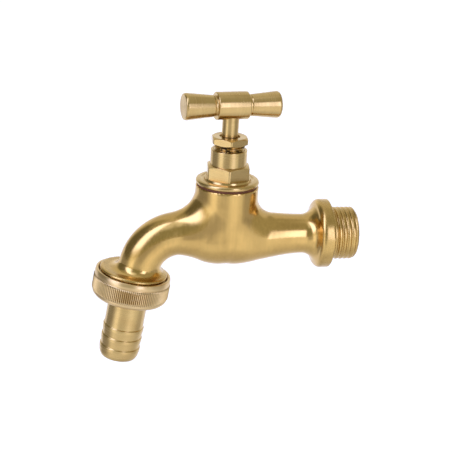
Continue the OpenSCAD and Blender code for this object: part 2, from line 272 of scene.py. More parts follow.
# The spout's centre line is an arc about BEND, from straight above it round to the angle BEND_END,
# with a straight run at each end.
BEND = np.array([-58.49, 0, -14.99])
BEND_R = 15.77
BEND_END = math.radians(170.2)
LEAD_IN = 14
LEAD_OUT = 4.5
SPOUT_R_TOP = 8.44
SPOUT_R_END = 8.05
SPOUT_JOIN = 2.0

# Heights on the outlet are counted along its axis, downwards from the union's joint point.
TUBE_END = -2.4
COLLAR_R = 13.1
COLLAR_TOP, COLLAR_FOOT = -3.3, -1.9
COLLAR_FILLET = 3.4
CORE_R = 12.06
CORE_TOP = -2.6
OUTLET_END = 3.4

# The inlet has a G 1/2 thread and the outlet G 3/4, both worn shallow.
PIPE_PITCH = 1.8143
PIPE_DEPTH = 0.6
INLET_CREST = 10.4775
OUTLET_CREST = 13.2205

# The water way: inlet, a low way to the seat, the valve's chamber above it, and the spout.
INLET_BORE_R = 5.5
OUTLET_BORE_R = 6.0
SPOUT_BORE_R = 5.6
WAY_R = 3.9
WAY_Z = -4.9
SEAT_BORE_R = 4.75
SEAT_LIP_R = 6.25
SEAT_TOP = 2.5
CHAMBER_R = 9.0
BONNET_BORE_R = 10.0


def bend_line(p):
    """Distance to the spout's centre line, and how far round the bend that point is (0 to 1)."""
    d = p - BEND
    turn = np.arctan2(d[:, 2], d[:, 0])
    turn = np.where(turn < -math.pi / 2, turn + TURN, turn)
    turn = np.clip(turn, math.pi / 2, BEND_END)
    near = BEND_R * np.stack([np.cos(turn), np.zeros_like(turn), np.sin(turn)], 1)
    arc = np.linalg.norm(d - near, axis=1)
    top = BEND + np.array([0, 0, BEND_R])
    lead_in = rod(p, (top[0], top[2]), (top[0] + LEAD_IN, top[2]), 0)
    end = BEND + BEND_R * np.array([math.cos(BEND_END), 0, math.sin(BEND_END)])
    down = np.array([-math.sin(BEND_END), 0, math.cos(BEND_END)])
    lead_out = rod(p, (end[0], end[2]), tuple((end + LEAD_OUT * down)[[0, 2]]), 0)
    share = (turn - math.pi / 2) / (BEND_END - math.pi / 2)
    return np.minimum(np.minimum(arc, lead_in), lead_out), share


def casting(p):
    """Signed distance to the cast body without its threads."""
    x, y, z = p.T
    before_belly = x > BELLY_X
    neck = np.where(before_belly, NECK_R, SPOUT_NECK_R)
    from_belly = np.where(before_belly, (x - BELLY_X) / BELLY_TO_NECK, (BELLY_X - x) / BELLY_TO_SPOUT)
    swell = np.cos(np.clip(from_belly, 0, 1) * math.pi / 2) ** 2 * (BELLY_R - neck)
    sink = SINK * np.clip((SINK_START - x) / (SINK_START - BARREL_END), 0, 1) ** 2
    barrel = np.hypot(y, z + BELLY_HANG * swell) - neck - (1 - BELLY_HANG) * swell + sink
    barrel = np.maximum(barrel, np.maximum(x - BARREL_START, BARREL_END - x))
    rim = rounded_disc(np.hypot(y, z), x, FLANGE_R, -FLANGE_THICK, 0.0, edge_low=1.9, edge_high=0.4)
    inlet = fillet_union(barrel, rim, COVE)

    stem = np.hypot(x - stem_x, y)
    low = np.minimum(z - DOME_Z, 0) * COLUMN_R / DOME_DEPTH
    ball = np.sqrt(stem ** 2 + low ** 2)
    dome = ball - COLUMN_R
    top = z - column_top
    outside = np.hypot(np.maximum(dome + COLUMN_EDGE, 0), np.maximum(top + COLUMN_EDGE, 0))
    column = np.minimum(np.maximum(dome, top), 0) + outside - COLUMN_EDGE
    column = np.maximum(column, np.maximum(dome, top))

    line, share = bend_line(p)
    tube = line - (SPOUT_R_TOP + (SPOUT_R_END - SPOUT_R_TOP) * share)
    rel = p - outlet_point
    along = rel @ outlet_axis
    rho = np.sqrt(np.maximum((rel ** 2).sum(1) - along ** 2, 0))
    tube = np.maximum(tube, along - TUBE_END)
    collar = rounded_disc(rho, along, COLLAR_R, COLLAR_TOP, COLLAR_FOOT, edge_low=0.6, edge_high=0.2)
    spout = fillet_union(tube, collar, COLLAR_FILLET)

    skin = fillet_union(inlet, spout, SPOUT_JOIN)
    shoulder = np.where(x < stem_x, SPOUT_SHOULDER, NECK_SHOULDER)
    alignment = (y ** 2 + z * low) / (np.maximum(ball, 1) * np.maximum(np.hypot(y, z), 1))
    shoulder = shoulder * np.sqrt(1 - np.clip(alignment, 0, 1) ** 2)
    skin = fillet_union(skin, column, shoulder)
    core = np.maximum(rho - CORE_R, np.maximum(CORE_TOP - along, along - OUTLET_END))
    skin = np.minimum(skin, core)
    return np.maximum(skin, -water_way(p, stem, rho, along, line))


def water_way(p, stem, rho, along, line):
    """Signed distance to the hollow inside the casting."""
    x, y, z = p.T
    ways = {
        "inlet bore": np.maximum(np.hypot(y, z) - INLET_BORE_R, -21 - x),
        "way down to the seat": rod(p, (-18, 0.3), (-31.5, WAY_Z), WAY_R),
        "space under the seat": rod(p, (-30.5, WAY_Z), (stem_x, WAY_Z), WAY_R - 0.05),
        "seat bore": np.maximum(stem - SEAT_BORE_R, np.maximum(-8.6 - z, z - SEAT_TOP - 1)),
        "moat round the seat": np.maximum(np.maximum(SEAT_LIP_R - stem, stem - CHAMBER_R),
                                          np.maximum(1.0 - z, z - SEAT_TOP - 0.5)),
        "chamber": np.maximum(stem - CHAMBER_R, np.maximum(SEAT_TOP - z, z - 12.5)),
        "bonnet's bore": np.maximum(stem - BONNET_BORE_R, 12 - z),
        "way out to the spout": rod(p, (-59.5, 0.6), (-50, 4.4), 4.9),
        "spout bore": np.maximum(line - SPOUT_BORE_R, x + 57.9),
        "outlet bore": np.maximum(rho - OUTLET_BORE_R, -3.2 - along),
    }
    return np.minimum.reduce(list(ways.values()))


def net(distance, low, high, step):
    """Points and quads of the surface where distance is 0: one point in each grid cell it crosses."""
    counts = np.ceil((np.array(high) - low) / step).astype(int) + 1
    axes = [low[i] + step * np.arange(counts[i]) for i in range(3)]
    grid = np.stack(np.meshgrid(*axes, indexing="ij"), -1)
    value = distance(grid.reshape(-1, 3)).reshape(counts)
    cells = tuple(counts - 1)
    total = np.zeros(cells + (3,))
    tally = np.zeros(cells, int)
    crossings = []
    for axis in range(3):
        b, c = (axis + 1) % 3, (axis + 2) % 3
        lower = [slice(None)] * 3
        upper = [slice(None)] * 3
        lower[axis], upper[axis] = slice(0, -1), slice(1, None)
        d0, d1 = value[tuple(lower)], value[tuple(upper)]
        found = np.argwhere((d0 < 0) != (d1 < 0))
        v0, v1 = d0[tuple(found.T)], d1[tuple(found.T)]
        at = np.array([low[i] for i in range(3)]) + step * found
        at[:, axis] += step * v0 / (v0 - v1)
        crossings.append((found, v0 < 0, b, c))
        for db in (0, 1):
            for dc in (0, 1):
                cell = found.copy()
                cell[:, b] -= db
                cell[:, c] -= dc
                np.add.at(total, tuple(cell.T), at)
                np.add.at(tally, tuple(cell.T), 1)
    used = tally > 0
    index = np.full(cells, -1)
    index[used] = np.arange(used.sum())
    points = total[used] / tally[used][:, None]
    quads = []
    for found, leaving, b, c in crossings:
        ring = []
        for db, dc in ((0, 0), (1, 0), (1, 1), (0, 1)):
            cell = found.copy()
            cell[:, b] -= db
            cell[:, c] -= dc
            ring.append(index[tuple(cell.T)])
        ring = np.stack(ring, 1)
        ring[~leaving] = ring[~leaving][:, ::-1]
        quads.append(ring)
    return points, np.concatenate(quads)


def settle(points, quads, distance, rounds=4):
    """Evens out a net's points along the surface and brings them back onto it."""
    reach = 0.05
    sides = np.concatenate([quads[:, [i, (i + 1) % 4]] for i in range(4)])
    edges = np.unique(np.sort(sides, axis=1), axis=0)
    for _ in range(rounds):
        near = np.zeros_like(points)
        tally = np.zeros(len(points))
        for i, j in ((0, 1), (1, 0)):
            np.add.at(near, edges[:, i], points[edges[:, j]])
            np.add.at(tally, edges[:, i], 1)
        slope = np.stack([(distance(points + reach * axis) - distance(points - reach * axis)) / (2 * reach)
                          for axis in np.eye(3)], 1)
        size = np.maximum(np.linalg.norm(slope, axis=1), 0.3)[:, None]
        normal = slope / size
        pull = near / tally[:, None] - points
        pull -= (pull * normal).sum(1)[:, None] * normal
        points = points + 0.5 * pull
        gap = np.clip(distance(points), -0.3, 0.3)[:, None]
        points = points - normal * gap / size
    return points


def inlet_thread():
    """The inlet's pipe thread, which fades in at the flange and is chamfered at its open end."""
    bore, start, chamfer, taper = 5.45, -1.5, 0.9, 0.9

    def shape(a, r, z):
        fade = np.clip((z + 0.1) / 0.9, 0, 1)
        cut = thread_cut(a, z, PIPE_PITCH, PIPE_DEPTH)
        helix = INLET_CREST - np.where(z > 0, cut * fade + (1 - fade) * PIPE_DEPTH * 0.6, PIPE_DEPTH)
        cone = INLET_CREST - 0.15 - np.clip(z - (inlet_end - chamfer), 0, 1) * taper
        return np.where(r > 8, np.minimum(np.minimum(helix, cone), r), r)

    outline = rounded([(bore, start), (INLET_CREST, start), (INLET_CREST, inlet_end),
                       (bore + 0.55, inlet_end, 0.1), (bore, inlet_end - 0.5)])
    outline = finer(outline, 0.11, start, inlet_end)
    return make("inlet_thread", *turned(outline, 200, shape), None, along_inlet)


def outlet_thread():
    """The outlet's pipe thread, under the union nut."""
    bore, start = 5.95, -2.3

    def shape(a, r, z):
        cut = thread_cut(a, z, PIPE_PITCH, PIPE_DEPTH)
        helix = OUTLET_CREST - np.where((z > start + 0.9) & (z < OUTLET_END - 0.5), cut, PIPE_DEPTH)
        return np.where(r > 12.5, np.minimum(helix, r), r)

    outline = rounded([(bore, start), (OUTLET_CREST, start),
                       (OUTLET_CREST, OUTLET_END), (bore, OUTLET_END)])
    outline = finer(outline, 0.11, start, OUTLET_END)
    return make("outlet_thread", *turned(outline, 220, shape), None, on_outlet)


def finish_faces(body, cast, machined):
    """Gives the wall flange, the inlet and the outlet's collar and thread the machined finish."""
    mesh = body.data
    mesh.materials.clear()
    for material in (cast, machined):
        mesh.materials.append(material)
    centre = np.empty(3 * len(mesh.polygons))
    mesh.polygons.foreach_get("center", centre)
    centre = centre.reshape(-1, 3) / MM
    along = (centre - outlet_point) @ outlet_axis
    rho = np.linalg.norm(centre - outlet_point - along[:, None] * outlet_axis, axis=1)
    at_outlet = (along > COLLAR_TOP - 0.7) & (rho > SPOUT_R_END + 2) & (centre[:, 2] < -12)
    at_wall = centre[:, 0] > 0.8 - FLANGE_THICK
    mesh.polygons.foreach_set("material_index", (at_wall | at_outlet).astype(int))


def body_piece(cast, machined):
    """The cast body, with its two pipe threads cut as helices."""
    step = 0.5
    # The grid reaches a little past the casting on every side.
    grid_low, grid_high = np.array([-92.0, -14.5, -23.0]), np.array([1.5, 14.5, 21.6])
    points, quads = net(casting, grid_low, grid_high, step)
    points = settle(points, quads, casting)
    body = make("tap_body", points, quads, cast, sharp=50)
    combine(body, inlet_thread(), "UNION", 50)
    combine(body, outlet_thread(), "UNION", 50)
    finish_faces(body, cast, machined)
    return body


# ---------------------------------------------------------------- turned pieces

# The bonnet, from its thread up to the packing housing.
BONNET_THREAD_R = 9.95
BONNET_THREAD_TOP = 19.6
BONNET_R = 12.15
BONNET_FLANGE_TOP = 22.9
LEDGE_R = 8.8
HEX_FLATS = 15.75
HEX_TOP = 28.6
BONNET_TURN = math.radians(23)
HOUSING_R = 6.95
PACKING_R = 6.0

GLAND_CREST = 5.95
GLAND_FLATS = 13.2
GLAND_HEX_Z = 36.75
GLAND_TURN = math.radians(25)

# The spindle's stem and its lifting thread, which starts at LIFT_FOOT with the valve shut.
STEM_R = 3.15
LIFT_R = 5.0
LIFT_LEAD = 2.5
LIFT_FOOT = bonnet_bottom + 0.5
LIFT_H = 5.4


def bonnet_piece(material):
    """Thread, round flange, hexagon and packing housing, bored for the spindle and the packing."""
    corner = HEX_FLATS / math.sqrt(3)
    ledge_top = BONNET_FLANGE_TOP + 0.6
    relief_r = BONNET_THREAD_R - 0.95
    bore_top = 24.2

    def shape(a, r, z):
        sides = np.minimum(hex_radius(a, HEX_FLATS), corner - 0.12)
        in_hexagon = (z > ledge_top + 0.001) & (z < HEX_TOP + 0.001) & (r > HOUSING_R + 0.01)
        r = np.where(in_hexagon, np.minimum(r, sides), r)
        threaded = (r > BONNET_THREAD_R - 0.01) & (z < BONNET_THREAD_TOP + 0.4)
        return np.where(threaded, r - thread_cut(a, z, pitch=1.5, depth=0.9), r)

    thread = [
        (LIFT_R + 0.05, bonnet_bottom), (relief_r - 0.1, bonnet_bottom), (relief_r, bonnet_bottom + 0.6),
        (BONNET_THREAD_R, bonnet_bottom + 0.9), (BONNET_THREAD_R, BONNET_THREAD_TOP),
        (relief_r, BONNET_THREAD_TOP + 0.3), (relief_r, flange_under),
    ]
    flange = [
        (BONNET_R, flange_under, 0.75), (BONNET_R, BONNET_FLANGE_TOP - 0.1, 1.0),
        (LEDGE_R + 1.3, BONNET_FLANGE_TOP + 0.05, 0.2), (LEDGE_R + 0.9, BONNET_FLANGE_TOP - 0.2, 0.1),
        (LEDGE_R + 0.3, BONNET_FLANGE_TOP - 0.2, 0.1), (LEDGE_R, ledge_top, 0.12),
    ]
    hexagon = [
        (corner, ledge_top + 0.002), (corner, HEX_TOP - 0.75), (HEX_FLATS / 2 - 0.25, HEX_TOP),
    ]
    housing = [
        (HOUSING_R, HEX_TOP + 0.002, 0.15), (HOUSING_R, housing_top, 0.3), (PACKING_R, housing_top, 0.12),
        (PACKING_R, packing_floor), (STEM_R + 0.05, packing_floor), (STEM_R + 0.05, bore_top),
        (LIFT_R + 0.05, bore_top),
    ]
    outline = rounded(thread + flange + hexagon + housing)
    outline = finer(outline, 0.12, bonnet_bottom + 0.8, BONNET_THREAD_TOP + 0.1)
    outline = finer(outline, 0.12, HEX_TOP - 0.8, HEX_TOP)
    return make("bonnet_body", *turned(outline, 240, shape, start=BONNET_TURN), material, on_stem, 28)


def gland_piece(material):
    """The hexagon-headed gland screw, with its thread showing above the housing."""
    corner = GLAND_FLATS / math.sqrt(3)

    def shape(a, r, z):
        sides = np.minimum(hex_radius(a, GLAND_FLATS), corner - 0.1)
        r = np.where((z > GLAND_HEX_Z - 0.001) & (r > GLAND_CREST + 0.2), np.minimum(r, sides), r)
        threaded = (r > GLAND_CREST - 0.01) & (z < GLAND_HEX_Z - 0.3)
        return np.where(threaded, r - thread_cut(a, z, pitch=1.0, depth=0.62), r)

    thread = [
        (STEM_R + 0.07, gland_foot), (GLAND_CREST - 0.7, gland_foot), (GLAND_CREST, gland_foot + 0.7),
        (GLAND_CREST, GLAND_HEX_Z - 0.35), (GLAND_CREST - 0.5, GLAND_HEX_Z - 0.2),
        (GLAND_CREST - 0.5, GLAND_HEX_Z),
    ]
    head = [
        (GLAND_FLATS / 2 - 0.1, GLAND_HEX_Z), (corner, GLAND_HEX_Z + 0.55), (corner, gland_top - 0.7),
        (GLAND_FLATS / 2 - 0.2, gland_top), (3.95, gland_top, 0.12), (3.9, gland_top - 0.7),
        (STEM_R + 0.35, gland_top - 1.2), (STEM_R + 0.07, gland_top - 1.3),
    ]
    outline = rounded(thread + head)
    outline = finer(outline, 0.08, gland_foot + 0.6, GLAND_HEX_Z - 0.3)
    outline = finer(outline, 0.1, GLAND_HEX_Z, GLAND_HEX_Z + 0.56)
    outline = finer(outline, 0.1, gland_top - 0.72, gland_top)
    return make("gland_nut_screw", *turned(outline, 240, shape, start=GLAND_TURN), material, on_stem, 28)


# The handle lies across the spindle's square end, turned by HANDLE_YAW at rest.
HUB_R = 5.25
HUB_HALF = 6.25
HANDLE_HALF = 18.75
GRIP_R = 5.1
GRIP_NECK_R = 4.0
HANDLE_YAW = math.radians(7.6)
SQUARE = 4.5
SOCKET_DEPTH = 1.2
in_handle = on_stem @ Matrix.Translation((0, 0, handle_z * MM)) @ Matrix.Rotation(HANDLE_YAW, 4, "Z")


def square_post(name, half, low, above, material=None):
    """A square post in the handle, from height low to this far above the round of the hub."""
    across = np.linspace(-half, half, 13)
    crown = np.sqrt(HUB_R ** 2 - across ** 2) + above
    points, faces = [], []
    for side in (-half, half):
        for y, z in zip(across, crown):
            points += [(side, y, low), (side, y, z)]
    count = len(across)
    for k in range(count - 1):
        a, b = 2 * k, 2 * (k + count)
        faces += [(a, a + 1, a + 3, a + 2), (b + 2, b + 3, b + 1, b)]
        faces += [(a + 1, b + 1, b + 3, a + 3), (a, a + 2, b + 2, b)]
    last = 2 * (count - 1)
    faces += [(0, 2 * count, 2 * count + 1, 1), (last, last + 1, 2 * count + last + 1, 2 * count + last)]
    return make(name, points, faces, material, in_handle)


def spindle_piece(material):
    """The rising spindle: socket, lifting thread, stem, and a square end flush with the handle's hub."""
    foot_r = 4.0
    lift_top = LIFT_FOOT + LIFT_H
    shoulder = handle_z - HUB_R + SOCKET_DEPTH
    socket_r, socket_top = 2.06, 18.8
    clip_r, clip_low, clip_high = 2.5, 15.6, 16.8

    def shape(a, r, z):
        threaded = (r > LIFT_R - 0.01) & (z > LIFT_FOOT) & (z < lift_top)
        return np.where(threaded, r - thread_cut(a, z, LIFT_LEAD, depth=0.9), r)

    outside = [
        (socket_r, spindle_foot), (foot_r, spindle_foot, 0.2), (foot_r, LIFT_FOOT - 0.2),
        (LIFT_R, LIFT_FOOT), (LIFT_R, lift_top), (STEM_R, lift_top + 0.002), (STEM_R, shoulder),
    ]
    socket = [
        (0, shoulder), (0, socket_top), (socket_r, socket_top), (socket_r, clip_high),
        (clip_r, clip_high), (clip_r, clip_low), (socket_r, clip_low),
    ]
    outline = finer(rounded(outside + socket), 0.15, LIFT_FOOT, lift_top)
    stem = make("spindle_stem", *turned(outline, 128, shape), material, on_stem)
    end = square_post("square_end", SQUARE / 2, SOCKET_DEPTH - 0.3 - HUB_R, 0, material)
    combine(stem, end, "UNION")
    return stem


def handle_piece(material):
    """The T handle, turned from one bar, with a square hole through its hub."""
    side = [
        (HUB_R, HUB_HALF, 0.4), (GRIP_NECK_R - 0.1, HUB_HALF + 0.02, 0.25),
        (GRIP_NECK_R - 0.1, HUB_HALF + 0.9, 0.3), (GRIP_NECK_R + 0.1, HUB_HALF + 1.2, 0.3),
        (GRIP_R, HANDLE_HALF - 0.9, 1.2), (GRIP_R - 0.25, HANDLE_HALF, 0.9), (0, HANDLE_HALF),
    ]
    other_side = [(corner[0], -corner[1]) + corner[2:] for corner in reversed(side)]
    outline = rounded(other_side + side, 8)
    across = in_handle @ Matrix.Rotation(math.pi / 2, 4, "Y")
    bar = make("t_handle", *turned(outline, 160, closed=False), material, across)
    combine(bar, square_post("hole", SQUARE / 2 + 0.02, -HUB_R - 1, 2), "DIFFERENCE")
    low = handle_z - HUB_R
    radius, depth = STEM_R + 0.03, SOCKET_DEPTH + 0.02
    socket = rounded([(0, low - 1), (radius, low - 1), (radius, low + depth), (0, low + depth)])
    combine(bar, make("socket", *turned(socket, 96), None, on_stem), "DIFFERENCE")
    return bar


# The nut and the tail, with their heights counted as on the outlet.
NUT_TOP = -2.2
NUT_END = 8.2
NUT_BORE_R = 13.28
NUT_FLOOR = 6.61
KNURLS = 120
KNURL_LOW, KNURL_HIGH = 0.35, 6.3
KNURL_HEIGHT = 0.36
KNURL_CUT = 0.04


def nut_piece(material):
    """The union nut with its straight knurl."""
    root_r = nut_r - 0.35
    band_r = nut_r - 0.25

    def shape(a, r, z):
        fade = np.clip((z - KNURL_LOW) / 0.3, 0, 1) * np.clip((KNURL_HIGH - z) / 0.3, 0, 1)
        ridge = 0.5 + 0.5 * np.cos(a * KNURLS)
        return np.where(r > root_r - 0.01, r + fade * (KNURL_HEIGHT * ridge - KNURL_CUT), r)

    corners = [
        (13.75, NUT_TOP, 0.08), (14.5, NUT_TOP, 0.25), (band_r, NUT_TOP + 1.2, 0.9),
        (band_r, KNURL_LOW - 0.4, 0.1), (root_r - 0.1, KNURL_LOW - 0.2, 0.1), (root_r, KNURL_LOW),
        (root_r, KNURL_HIGH), (root_r, KNURL_HIGH + 0.1), (root_r - 0.15, NUT_END - 1, 0.8),
        (nut_r - 1.5, NUT_END, 0.35), (8.3, NUT_END, 0.15), (8.15, NUT_FLOOR, 0.05),
        (NUT_BORE_R, NUT_FLOOR), (NUT_BORE_R, NUT_TOP + 0.5),
    ]
    outline = finer(rounded(corners), 0.12, KNURL_LOW, KNURL_LOW + 0.4)
    outline = finer(outline, 0.5, KNURL_LOW, KNURL_HIGH)
    return make("knurled_union_nut", *turned(outline, KNURLS * 6, shape), material, on_outlet)


TAIL_R = 7.65
TAIL_BORE_R = 5.3
TAIL_FLANGE_R = 11.7
TAIL_FLANGE_LOW, TAIL_FLANGE_HIGH = 4.99, 6.59
TAIL_END = 33.6
BARB_R = 8.0
BARBS = (20.1, 24.4, 28.7)


def tail_piece(material):
    """The hose tail: flange, plain tube and three barbs, bored through."""
    corners = [
        (TAIL_BORE_R, TAIL_FLANGE_LOW), (TAIL_FLANGE_R, TAIL_FLANGE_LOW, 0.2),
        (TAIL_FLANGE_R, TAIL_FLANGE_HIGH, 0.1), (TAIL_R, TAIL_FLANGE_HIGH, 0.3),
    ]
    for start in BARBS:
        corners += [(TAIL_R, start - 0.2, 0.2), (BARB_R, start + 0.1, 0.2), (BARB_R, start + 1.2, 0.8)]
    corners += [
        (BARB_R - 0.35, TAIL_END - 1.5, 2.5), (BARB_R - 1.1, TAIL_END, 0.8),
        (TAIL_BORE_R + 0.6, TAIL_END, 0.2), (TAIL_BORE_R, TAIL_END - 0.5),
    ]
    return make("barbed_hose_tail", *turned(rounded(corners, 6), 160), material, on_outlet)


# ---------------------------------------------------------------- materials

BRASS = (0.608, 0.396, 0.125)
BAR_BRASS = (0.59, 0.405, 0.152)
NUT_BRASS = (0.72, 0.515, 0.24)
# Colour of the grease on the gland's thread, and of the painted shade in the knurl's grooves.
GREASE_AND_SHADE = (0.12, 0.08, 0.033, 1)
BAR_GLOSS = (0.2, 0.29)
NUT_GLOSS = (0.3, 0.4)
NOISE_LOW, NOISE_HIGH = 0.3, 0.7


def nodes_of(name):
    """A new material, its node tree and its shader."""
    material = bpy.data.materials.new(name)
    material.use_nodes = True
    tree = material.node_tree
    return material, tree, tree.nodes["Principled BSDF"]


def link(tree, out, into):
    """Joins an output socket to an input socket."""
    tree.links.new(out, into)


def feed(tree, value, into):
    """Joins a socket to an input socket, or sets a plain value on it."""
    if isinstance(value, bpy.types.NodeSocket):
        link(tree, value, into)
    else:
        into.default_value = value


def coordinates(tree, scale=(1, 1, 1)):
    """The piece's own coordinates in metres, scaled."""
    place = tree.nodes.new("ShaderNodeTexCoord")
    scaled = tree.nodes.new("ShaderNodeMapping")
    scaled.inputs["Scale"].default_value = scale
    link(tree, place.outputs["Object"], scaled.inputs["Vector"])
    return scaled.outputs["Vector"]


def noise(tree, vector, scale, detail=3, roughness=0.5):
    """Noise whose values lie mostly between NOISE_LOW and NOISE_HIGH."""
    made = tree.nodes.new("ShaderNodeTexNoise")
    made.inputs["Scale"].default_value = scale
    made.inputs["Detail"].default_value = detail
    made.inputs["Roughness"].default_value = roughness
    link(tree, vector, made.inputs["Vector"])
    return made.outputs["Fac"]


def ramp(tree, value, stops):
    """Maps a value through colour stops of (place, colour)."""
    made = tree.nodes.new("ShaderNodeValToRGB")
    band = made.color_ramp
    band.elements[0].position, band.elements[0].color = stops[0][0], stops[0][1] + (1,)
    band.elements[1].position, band.elements[1].color = stops[-1][0], stops[-1][1] + (1,)
    for place, colour in stops[1:-1]:
        band.elements.new(place).color = colour + (1,)
    link(tree, value, made.inputs["Fac"])
    return made.outputs["Color"]


def spread(tree, value, low, high):
    """Maps a noise value to a number between low and high."""
    made = tree.nodes.new("ShaderNodeMapRange")
    made.inputs["From Min"].default_value = NOISE_LOW
    made.inputs["From Max"].default_value = NOISE_HIGH
    made.inputs["To Min"].default_value = low
    made.inputs["To Max"].default_value = high
    link(tree, value, made.inputs["Value"])
    return made.outputs["Result"]


def bump(tree, height, strength, distance, normal=None):
    """A normal bent by a height, on top of another bend where one is given."""
    made = tree.nodes.new("ShaderNodeBump")
    made.inputs["Strength"].default_value = strength
    made.inputs["Distance"].default_value = distance
    link(tree, height, made.inputs["Height"])
    if normal is not None:
        link(tree, normal, made.inputs["Normal"])
    return made.outputs["Normal"]


def number(tree, operation, *values):
    """A Math node on sockets or plain numbers."""
    made = tree.nodes.new("ShaderNodeMath")
    made.operation = operation
    for socket, value in zip(made.inputs, values):
        feed(tree, value, socket)
    return made.outputs[0]


def step_up(tree, value, low, high):
    """Rises smoothly from 0 to 1 as value goes from low to high."""
    made = tree.nodes.new("ShaderNodeMapRange")
    made.interpolation_type = "SMOOTHSTEP"
    made.inputs["From Min"].default_value = low
    made.inputs["From Max"].default_value = high
    link(tree, value, made.inputs["Value"])
    return made.outputs["Result"]


def between(tree, value, low, low_edge, high, high_edge):
    """1 between low and high and 0 outside, over soft edges of these widths."""
    above = step_up(tree, value, low - low_edge / 2, low + low_edge / 2)
    beyond = step_up(tree, value, high - high_edge / 2, high + high_edge / 2)
    return number(tree, "SUBTRACT", above, beyond)


def blend(tree, base, area, value):
    """The base number, changed to value inside the area."""
    return number(tree, "ADD", base, number(tree, "MULTIPLY", area, number(tree, "SUBTRACT", value, base)))


def colour_blend(tree, base, area, colour):
    """The base colour, changed to this colour inside the area."""
    made = tree.nodes.new("ShaderNodeMix")
    made.data_type = "RGBA"
    link(tree, area, made.inputs["Factor"])
    feed(tree, base, made.inputs[6])
    feed(tree, colour, made.inputs[7])
    return made.outputs[2]


def tinted(tree, colour, value, low, high):
    """The colour made darker or lighter, by low to high times, as the noise value rises."""
    scaled = tree.nodes.new("ShaderNodeVectorMath")
    scaled.operation = "SCALE"
    link(tree, colour, scaled.inputs[0])
    link(tree, spread(tree, value, low, high), scaled.inputs["Scale"])
    return scaled.outputs["Vector"]


def ring_lines(tree):
    """Coordinates that change only along and away from the turning axis, as tool marks do."""
    place = tree.nodes.new("ShaderNodeTexCoord")
    parts = tree.nodes.new("ShaderNodeSeparateXYZ")
    link(tree, place.outputs["Object"], parts.inputs["Vector"])
    flat = tree.nodes.new("ShaderNodeCombineXYZ")
    link(tree, parts.outputs["X"], flat.inputs["X"])
    link(tree, parts.outputs["Y"], flat.inputs["Y"])
    radius = tree.nodes.new("ShaderNodeVectorMath")
    radius.operation = "LENGTH"
    link(tree, flat.outputs["Vector"], radius.inputs[0])
    joined = tree.nodes.new("ShaderNodeCombineXYZ")
    link(tree, radius.outputs["Value"], joined.inputs["X"])
    link(tree, parts.outputs["Z"], joined.inputs["Z"])
    return joined.outputs["Vector"]


def shade(colour, factor, warm=0.0):
    """A colour made lighter or darker, and warmer or cooler."""
    red, green, blue = colour
    return (min(red * factor * (1 + warm), 1), min(green * factor, 1), min(blue * factor * (1 - warm), 1))


def cast_brass():
    """Polished casting: soft waviness, faint upright polishing marks and patches of tarnish."""
    material, tree, shader = nodes_of("polished_cast_brass")
    shader.inputs["Metallic"].default_value = 1
    even = coordinates(tree)
    patches = noise(tree, even, 70, 5, 0.6)
    colour = ramp(tree, patches, [(0.28, shade(BRASS, 0.86, 0.02)), (0.5, BRASS),
                                  (0.72, shade(BRASS, 1.06, -0.02))])
    marks = noise(tree, coordinates(tree, (1, 1, 0.07)), 1500, 3, 0.6)
    colour = tinted(tree, colour, marks, 0.93, 1.04)
    link(tree, colour, shader.inputs["Base Color"])
    link(tree, spread(tree, marks, 0.14, 0.23), shader.inputs["Roughness"])
    wave = bump(tree, noise(tree, even, 130, 2), 0.3, 0.0003)
    link(tree, bump(tree, marks, 0.08, 0.00002, wave), shader.inputs["Normal"])
    return material


def machined_brass():
    """Faces of the casting cut on the lathe, duller than the polished ones."""
    material, tree, shader = nodes_of("machined_cast_brass")
    shader.inputs["Metallic"].default_value = 1
    even = coordinates(tree)
    patches = noise(tree, even, 260, 4)
    stops = [(NOISE_LOW, shade(BRASS, 0.8)), (NOISE_HIGH, shade(BRASS, 0.98, -0.02))]
    link(tree, ramp(tree, patches, stops), shader.inputs["Base Color"])
    grain = noise(tree, even, 1600, 2)
    link(tree, spread(tree, grain, 0.22, 0.3), shader.inputs["Roughness"])
    link(tree, bump(tree, grain, 0.03, 0.00001), shader.inputs["Normal"])
    return material


def turned_brass(name, brass, gloss, dirt_and_shade=None):
    """Turned bar: fine rings left by the tool, which spread its gloss along the axis.

    gloss is the range of roughness; the last argument, where given, is called with (tree, parts, colour)
    and returns the colour changed: grease blotches for the gland, painted shade in the knurl's grooves for
    the nut.
    """
    material, tree, shader = nodes_of(name)
    shader.inputs["Metallic"].default_value = 1
    shader.inputs["Anisotropic"].default_value = 0.75
    shader.inputs["Anisotropic Rotation"].default_value = 0.25
    lines = noise(tree, ring_lines(tree), 5200, 2, 0.6)
    broad = noise(tree, ring_lines(tree), 900, 2)
    even = coordinates(tree)
    patches = noise(tree, even, 160, 3)
    stops = [(NOISE_LOW, shade(brass, 0.92, 0.02)), (NOISE_HIGH, shade(brass, 1.06, -0.03))]
    colour = ramp(tree, patches, stops)
    colour = tinted(tree, colour, lines, 0.94, 1.04)
    if dirt_and_shade is not None:
        parts = tree.nodes.new("ShaderNodeSeparateXYZ")
        link(tree, even, parts.inputs["Vector"])
        colour = dirt_and_shade(tree, parts, colour)
    link(tree, colour, shader.inputs["Base Color"])
    link(tree, spread(tree, broad, *gloss), shader.inputs["Roughness"])
    link(tree, bump(tree, lines, 0.1, 0.00003), shader.inputs["Normal"])
    return material


def greasy_thread(tree, parts, colour):
    """Blotches of old grease on the gland's thread, above the housing."""
    low, high, edge = (housing_top - 1) * MM, (GLAND_HEX_Z - 0.1) * MM, 0.3 * MM
    zone = between(tree, parts.outputs["Z"], low, edge, high, edge)
    spots = step_up(tree, noise(tree, coordinates(tree), 520, 2), 0.49, 0.58)
    return colour_blend(tree, colour, number(tree, "MULTIPLY", zone, spots), GREASE_AND_SHADE)


